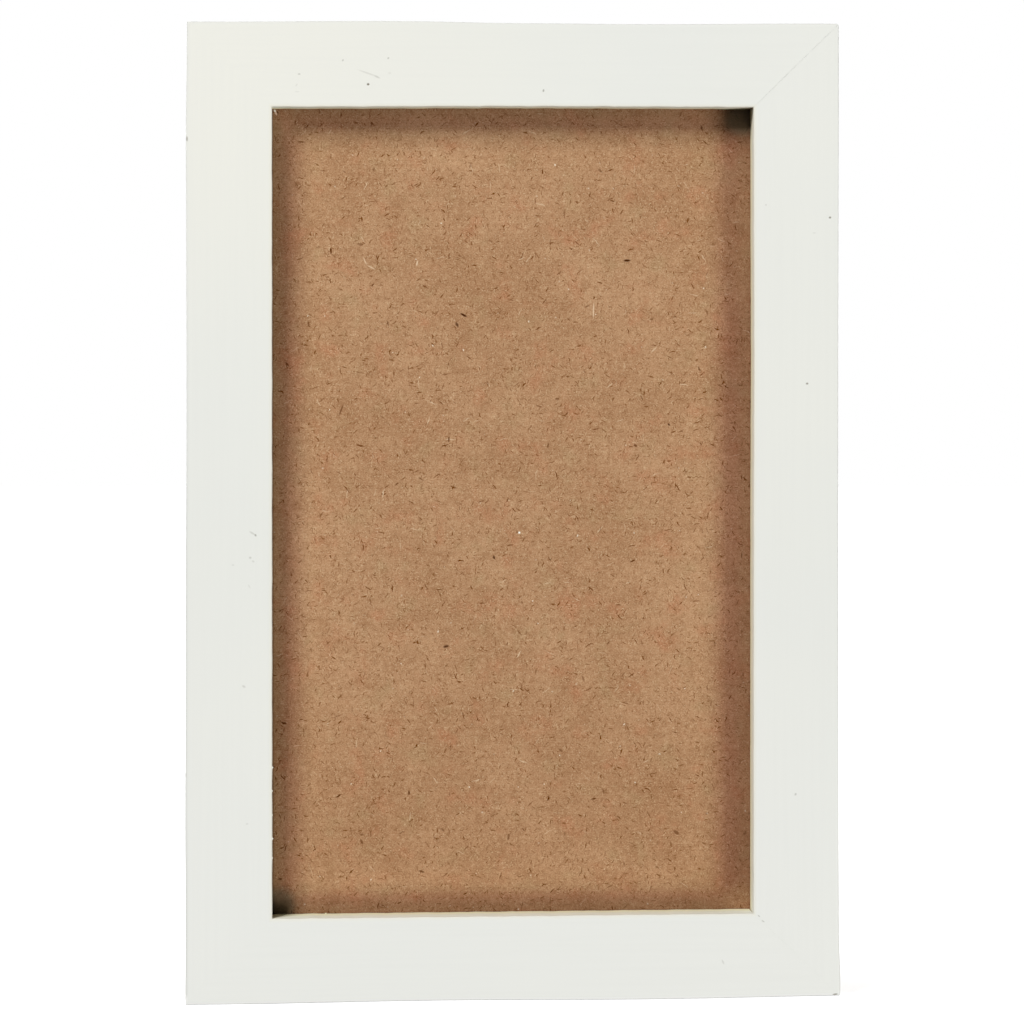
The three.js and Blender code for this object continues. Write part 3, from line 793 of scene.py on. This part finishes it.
def v_nail_grid(middle, inward):
    """The strip's section, a thin upright rectangle with broken corners, carried along the folded path.
    The path lies in the plane of the back, with its fold on the mitre and pointing inwards."""
    fold = v_nail_leg * math.cos(v_nail_spread) / 2
    leg = v_nail_leg * math.sin(v_nail_spread)
    lip = (-fold - v_nail_lip * math.cos(v_nail_curl), leg + v_nail_lip * math.sin(v_nail_curl))
    path = rounded_path([(lip[0], -lip[1]), (-fold, -leg), (fold, 0), (-fold, leg), lip], v_nail_bend)
    half, broken = v_nail_half, v_nail_arris
    section = np.array([
        (-half, v_nail_foot), (half, v_nail_foot), (half, v_nail_head - broken),
        (half - broken, v_nail_head), (broken - half, v_nail_head), (-half, v_nail_head - broken)])[::-1]
    plan = path[:, None] + section[None, :, :1] * sideways(path)[:, None]
    across = np.array([-inward[1], inward[0]])
    plan = middle + plan[..., :1] * inward + plan[..., 1:] * across
    height = np.broadcast_to(section[:, 1], plan.shape[:2])
    return np.stack([plan[..., 0], height, plan[..., 1]], -1)


spot_brown = (0.10, 0.085, 0.07)


def worked_steel(name, light, dark, tint, rough):
    """Steel sheet: a mottled plating between two shades with a faint tint, fine scratches and spots."""
    finish = Finish(name, Metallic=1.0)
    place = finish.add("TexCoord", {}, output="Object")
    mottle = finish.noise(place, 420.0, 4.0, 0.65)
    colour = finish.mix(finish.ramp(mottle, 0.3, 0.7), dark, light)
    colour = finish.mix(finish.ramp(finish.noise(place, 150.0, 2.0), 0.45, 0.75, 0.0, 0.5), colour, tint)
    spots = finish.ramp(finish.noise(place, 1900.0, 2.0), 0.68, 0.78, 0.0, 0.7)
    lines = finish.noise(finish.stretched(place, (260.0, 4200.0, 4200.0)), 1.0, 3.0)
    scratch = finish.ramp(lines, 0.60, 0.72)
    plating = finish.ramp(mottle, 0.25, 0.75, rough - 0.09, rough + 0.12)
    finish.surface(
        Base_Color=finish.mix(spots, colour, spot_brown),
        Roughness=finish.math("ADD", plating, finish.times(scratch, 0.12)))
    finish.bump(finish.math("SUBTRACT", finish.times(mottle, 0.8), scratch), 0.012 * MM, 0.5)
    return finish.material


spring_steel = worked_steel(
    "spring_steel", light=(0.27, 0.265, 0.26), dark=(0.15, 0.148, 0.15), tint=(0.17, 0.18, 0.22),
    rough=0.42)
for corner, outer in outer_corner.items():
    run = np.array(lip_corner[corner]) - outer
    for station, distance in v_nail_stations.items():
        middle = np.array(outer) + run * distance / moulding_width
        nail = swept(f"v_nail_{corner}_{station}_strip", v_nail_grid(middle, run / np.linalg.norm(run)))
        nail.data.materials.append(spring_steel)
        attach(nail, "frame")
        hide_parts(f"v_nail_{corner}_{station}")

# The turn buttons are tabs stamped from zinc-plated sheet with a pressed rib. Each one swings on a small
# cross-head screw beside the rebate, and holds the board while its tip lies over it.
button_head = 4.5
button_tip = 3.0
button_reach = 14.0
button_hole = 1.75
button_under = 7.7
button_top = 8.55
button_rib = 0.15
button_edge = 0.22
button_burr = 0.07
rib_half = 0.95
rib_start = (4.2, 6.0)
rib_end = (11.0, 12.6)
top_rings = 11


def button_outline(inset):
    """Two circles and the lines that touch both, drawn in all round by the inset: the wide end is
    round the pivot, the narrow one at the tip. Directions are along the button and across it."""
    gap = button_reach - button_tip
    lean = math.acos((button_head - button_tip) / gap)
    wide = np.linspace(lean, 2 * np.pi - lean, 73)
    narrow = np.linspace(-lean, lean, 41)
    head, tip = button_head - inset, button_tip - inset
    along = np.concatenate([head * np.cos(wide), gap + tip * np.cos(narrow)])
    across = np.concatenate([head * np.sin(wide), tip * np.sin(narrow)])
    return np.stack([along, across], -1)


def button_grid(pivot, way):
    """Rings from the hole across the top, round the stamped edge and back below to the hole. The rib is
    a ridge of bell-shaped section along the middle of the tab."""
    edge = button_outline(0.0)
    angle = np.arctan2(edge[:, 1], edge[:, 0])
    hole = button_hole * np.stack([np.cos(angle), np.sin(angle)], -1)
    share = np.linspace(0, 1, top_rings)[:, None, None]
    over = (1 - share) * hole + share * button_outline(button_edge)
    turn = np.linspace(0, np.pi / 2, 6)[1:]
    side = np.stack([button_outline(button_edge * (1 - math.sin(a))) for a in turn])
    below = np.stack([edge, button_outline(button_burr), hole])
    flat = np.concatenate([over, side, below])
    along, across = flat[..., 0], flat[..., 1]
    height = np.concatenate([
        np.full(top_rings, button_top), button_top - button_edge * (1 - np.cos(turn)),
        (button_under + button_burr, button_under, button_under)])
    lengthwise = step_up(along, *rib_start) * (1 - step_up(along, *rib_end))
    ridge = np.exp(-((across / rib_half) ** 2)) * lengthwise
    on_top = (np.arange(len(flat)) < top_rings)[:, None]
    height = height[:, None] + button_rib * ridge * on_top
    return np.stack([pivot[0] + way * along, height, pivot[1] + across], -1)


def turned_grid(middle, radius, height, steps):
    """A profile of radius and height turned about an axis through the middle, from one end to the other."""
    angle = np.linspace(0, 2 * np.pi, steps, endpoint=False)
    radius, height = np.broadcast_arrays(np.asarray(radius)[:, None], np.asarray(height)[:, None])
    x = middle[0] + radius * np.cos(angle)
    z = middle[1] + radius * np.sin(angle)
    return np.stack([x, np.broadcast_to(height, x.shape), z], -1)


pole = 0.03


def headed_pin(ring, head, rim, dome, seat, edge, shank, taper, end):
    """Radius and height down a headed pin: an elliptical dome through the given rings, a short rim with a
    broken edge, the seat under the head, then the shank, which narrows to a point."""
    cap = rim + dome * np.sqrt(np.clip(1 - (ring / head) ** 2, 0, 1))
    radius = np.concatenate([ring, [head, head - edge, shank, shank, pole]])
    height = np.concatenate([cap, [seat + edge, seat, seat, taper, end]])
    return radius, height


screw_head = 2.9
screw_form = dict(rim=9.35, dome=1.28, seat=8.9, edge=0.1, shank=1.5, taper=6.5, end=6.0)
dome_rings = 62
cross_half_width = 0.42
cross_half_length = 1.75
cross_depth = 1.0


def screw_grid(middle, turn):
    """A pan head: an elliptical dome on a short rim, with a cross sunk in its top. The cross is the wider
    of two bars, each with sloping walls, deepest in the middle and shallow at the ends of its arms."""
    inner = np.linspace(pole, screw_head * 0.97, dome_rings)
    ring = np.concatenate([inner, screw_head * np.array([0.985, 0.995, 1.0])])
    grid = turned_grid(middle, *headed_pin(ring, screw_head, **screw_form), 144)
    x, z = grid[..., 0] - middle[0], grid[..., 2] - middle[1]
    a, b = x * math.cos(turn) + z * math.sin(turn), z * math.cos(turn) - x * math.sin(turn)

    def bar(lengthwise, crosswise):
        wall = 1 - step_up(np.abs(crosswise), cross_half_width - 0.12, cross_half_width + 0.06)
        return wall * np.clip(1.15 - np.abs(lengthwise) / cross_half_length, 0, 0.9)
    on_dome = (np.arange(len(grid)) < dome_rings)[:, None]
    grid[..., 1] -= cross_depth * np.maximum(bar(a, b), bar(b, a)) * on_dome
    return grid


zinc_plate = worked_steel(
    "zinc_plated_steel", light=(0.53, 0.535, 0.54), dark=(0.36, 0.365, 0.375), tint=(0.50, 0.48, 0.41),
    rough=0.30)
for side_name, way in (("left", 1), ("right", -1)):
    for level_name, lean in (("upper", 0.35), ("lower", 1.05)):
        place = f"{side_name}_{level_name}"
        pivot = sum(room_of(f"button_screw_{place}"))[[0, 2]] / 2
        grid = button_grid(pivot, way)
        quads = sheet_of_quads(*grid.shape[:2], wrap_rows=True, wrap_cols=True)
        outward_quads = (quads if way > 0 else quads[:, ::-1]).tolist()
        button = put_in_mesh(f"turn_button_{place}_tab", grid, outward_quads)
        button.data.materials.append(zinc_plate)
        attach(button, f"turn_button_{place}")
        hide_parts(f"turn_button_{place}")
        screw = swept(f"button_screw_{place}_pan_head", screw_grid(pivot, lean + 0.8 * way))
        screw.data.materials.append(zinc_plate)
        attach(screw, "frame")
        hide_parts(f"button_screw_{place}")

# The hanger is a strip of plated sheet pressed to a low bridge, with teeth cut in its lower edge for the
# wall nail to catch. A round-headed nail through each foot holds it to the middle of the top rail.
hanger_low, hanger_high = room_of("sawtooth_hanger")
hanger_half_thick = 0.4
hanger_foot = 7.5
hanger_ramp = 2.0
hanger_bend = 0.9
hanger_corner = 2.0
hanger_arris = 0.18
tooth_pitch = 3.0
tooth_depth = 1.6
tooth_count = 7


def hanger_grid():
    """A flat section with rounded edges carried along the bridge-shaped path. Its lower edge rises in a
    triangular wave between the teeth, and both edges follow quarter circles at the ends."""
    end = hanger_high[0]
    foot, bar = end - hanger_foot, end - hanger_foot - hanger_ramp
    low, high = hanger_low[1] + hanger_half_thick, hanger_high[1] - hanger_half_thick
    bridge = [(-end, low), (-foot, low), (-bar, high), (bar, high), (foot, low), (end, low)]
    bends = rounded_path(bridge, hanger_bend)
    x = np.unique(np.concatenate([np.linspace(-end, end, 353), bends[:, 0]]).round(4))
    path = np.stack([x, np.interp(x, bends[:, 0], bends[:, 1])], -1)
    toothed = tooth_count * tooth_pitch / 2
    wave = 1 - np.abs(np.mod(x + toothed, tooth_pitch) - tooth_pitch / 2) / (tooth_pitch / 2)
    notch = tooth_depth * np.where(np.abs(x) < toothed, wave, 0)
    near_end = np.clip(hanger_corner - (end - np.abs(x)), 0, hanger_corner)
    drawn_in = hanger_corner - np.sqrt(hanger_corner ** 2 - near_end ** 2)
    lower = hanger_low[2] + np.maximum(notch, drawn_in)
    upper = hanger_high[2] - drawn_in
    r, t = hanger_arris, hanger_half_thick
    face = np.linspace(0, 1, 9)
    rim = np.array([(r, -t), (0, r - t), (0, t - r), (0.3 * r, t - 0.3 * r)])
    share = np.concatenate([np.zeros(4), face, np.ones(4), face[-2:0:-1]])
    inset = np.concatenate([rim[:, 0], np.full(9, r), rim[::-1, 0], np.full(7, r)])
    rise = np.concatenate([rim[:, 1], np.full(9, t), rim[::-1, 1], np.full(7, -t)])
    lower, upper = lower[:, None], upper[:, None]
    z = lower + share * (upper - lower) + inset * (1 - 2 * share)
    plan = path[:, None] + rise[None, :, None] * sideways(path)[:, None]
    return np.stack([plan[..., 0], plan[..., 1], z], -1)


hanger = swept("sawtooth_hanger_strip", hanger_grid())
hanger.data.materials.append(zinc_plate)
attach(hanger, "frame")
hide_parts("sawtooth_hanger")

nail_head = 2.0
nail_form = dict(rim=8.85, dome=0.52, seat=8.6, edge=0.08, shank=0.8, taper=6.0, end=5.5)
for side_name in ("left", "right"):
    middle = sum(room_of(f"hanger_nail_{side_name}"))[[0, 2]] / 2
    ring = nail_head * np.sin(np.linspace(0.02, np.pi / 2, 18))
    grid = turned_grid(middle, *headed_pin(ring, nail_head, **nail_form), 72)
    nail = swept(f"hanger_nail_{side_name}_head", grid)
    nail.data.materials.append(zinc_plate)
    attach(nail, "frame")
    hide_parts(f"hanger_nail_{side_name}")

# The stage is a plain white floor that fades into a white room. A big soft lamp stands high on the left
# and another low on the right, both square to the frame; two more light the back.
floor_reach = 6.0
floor_rings = 24
floor_spokes = 96
floor_to_eye = (0.8, 0.8, 0.8)
floor_to_lamps = (0.06, 0.06, 0.06)
frame_half = (0.1, 0.009, 1.0)
shadow_reach = 0.12
shadow_glow = 0.62
mirrored_glow = 0.4


def seen(nodes, ray):
    """1 for what the eye meets straight on, in metal or through glass, 0 for light between things."""
    indirectly = nodes.math("MAXIMUM", ray["Is Glossy Ray"], ray["Is Transmission Ray"])
    return nodes.math("MAXIMUM", ray["Is Camera Ray"], indirectly)


def white_floor():
    """White to the eye, less so behind the frame and close to it, where its shadow lies, and an ordinary
    dark floor to the lamps."""
    finish = Finish("white_floor", Roughness=0.9, Specular_IOR_Level=0.0)
    ray = finish.add("LightPath", {}).node.outputs
    finish.surface(Base_Color=finish.mix(ray["Is Camera Ray"], floor_to_lamps, floor_to_eye))
    place = finish.add("TexCoord", {}, output="Object")
    away = finish.vector("SUBTRACT", finish.vector("ABSOLUTE", place, (0, 0, 0)), frame_half)
    away = finish.length(finish.vector("MAXIMUM", away, (0, 0, 0)))
    glow = finish.ramp(away, 0.0, shadow_reach, shadow_glow, 1.0)
    in_front = finish.ramp(finish.parts(place)["Y"], 12 * MM, 2 * MM)
    glow = finish.math("MAXIMUM", glow, in_front)
    glow = finish.times(glow, finish.ramp(ray["Is Glossy Ray"], 0.0, 1.0, 1.0, mirrored_glow))
    light = finish.add("Emission", {"Color": (1, 1, 1), "Strength": finish.times(glow, seen(finish, ray))})
    both = finish.add("AddShader", {0: finish.shader.outputs[0], 1: light})
    finish.put(finish.output.inputs["Surface"], both)
    return finish.material


ring, spoke = np.meshgrid(
    np.linspace(0.002, 1, floor_rings) ** 2,
    np.linspace(0, 2 * np.pi, floor_spokes, endpoint=False), indexing="ij")
floor_points = np.stack([ring * np.cos(spoke), ring * np.sin(spoke), 0 * ring], -1) * floor_reach / MM
floor_quads = sheet_of_quads(floor_rings, floor_spokes, wrap_cols=True)[:, ::-1]
floor = put_in_mesh("floor", floor_points, floor_quads.tolist() + [list(range(floor_spokes))])
floor.data.materials.append(white_floor())
floor.visible_shadow = False

room_to_lamps = 0.02
world = bpy.data.worlds.new("white_room")
bpy.context.scene.world = world
world.use_nodes = True
room = Nodes(world.node_tree)
brightness = room.ramp(seen(room, room.add("LightPath", {}).node.outputs), 0.0, 1.0, room_to_lamps, 1.0)
sky = room.add("Background", {"Color": (1, 1, 1), "Strength": brightness})
room.put(room.tree.nodes.new("ShaderNodeOutputWorld").inputs["Surface"], sky)


def soft_lamp(name, place, turn, size, power, mirrored):
    """A square lamp at a place in metres, turned by the given angles from facing straight down. The metal
    mirrors the lamps behind."""
    lamp = bpy.data.lights.new(name, "AREA")
    lamp.shape = "SQUARE"
    lamp.size = size
    lamp.energy = power
    holder = bpy.data.objects.new(name, lamp)
    holder.location = place
    holder.rotation_euler = [math.radians(a) for a in turn]
    holder.visible_camera = False
    holder.visible_glossy = mirrored
    bpy.context.scene.collection.objects.link(holder)


soft_lamp("lamp_high_left", place=(-1.975, -2.514, 2.415), turn=(90, 0, 0), size=1.88, power=202.5,
          mirrored=False)
soft_lamp("lamp_low_right", place=(2.52, -2.514, -1.47), turn=(90, 0, 0), size=1.88, power=138.0,
          mirrored=False)
soft_lamp("lamp_behind_left", place=(-1.0, 1.15, 0.6), turn=(-74, 0, 41), size=1.9, power=23.0,
          mirrored=True)
soft_lamp("lamp_behind_right", place=(0.9, 1.1, 0.35), turn=(-82, 0, -39), size=1.6, power=16.5,
          mirrored=True)

# The camera stands in front and a little to the left, just above the middle, with a long lens.
camera_place = (-0.09560, -1.44196, 0.19498)
camera_down = math.radians(1.817)
camera_right = math.radians(3.783)
camera = bpy.data.cameras.new("camera")
camera.sensor_width = 36.0
camera.lens = 166.63
eye = bpy.data.objects.new("camera", camera)
eye.location = camera_place
eye.rotation_euler = (math.pi / 2 - camera_down, 0, -camera_right)
bpy.context.scene.collection.objects.link(eye)
bpy.context.scene.camera = eye
bpy.context.scene.view_settings.view_transform = "Standard"
bpy.context.scene.cycles.diffuse_bounces = 1
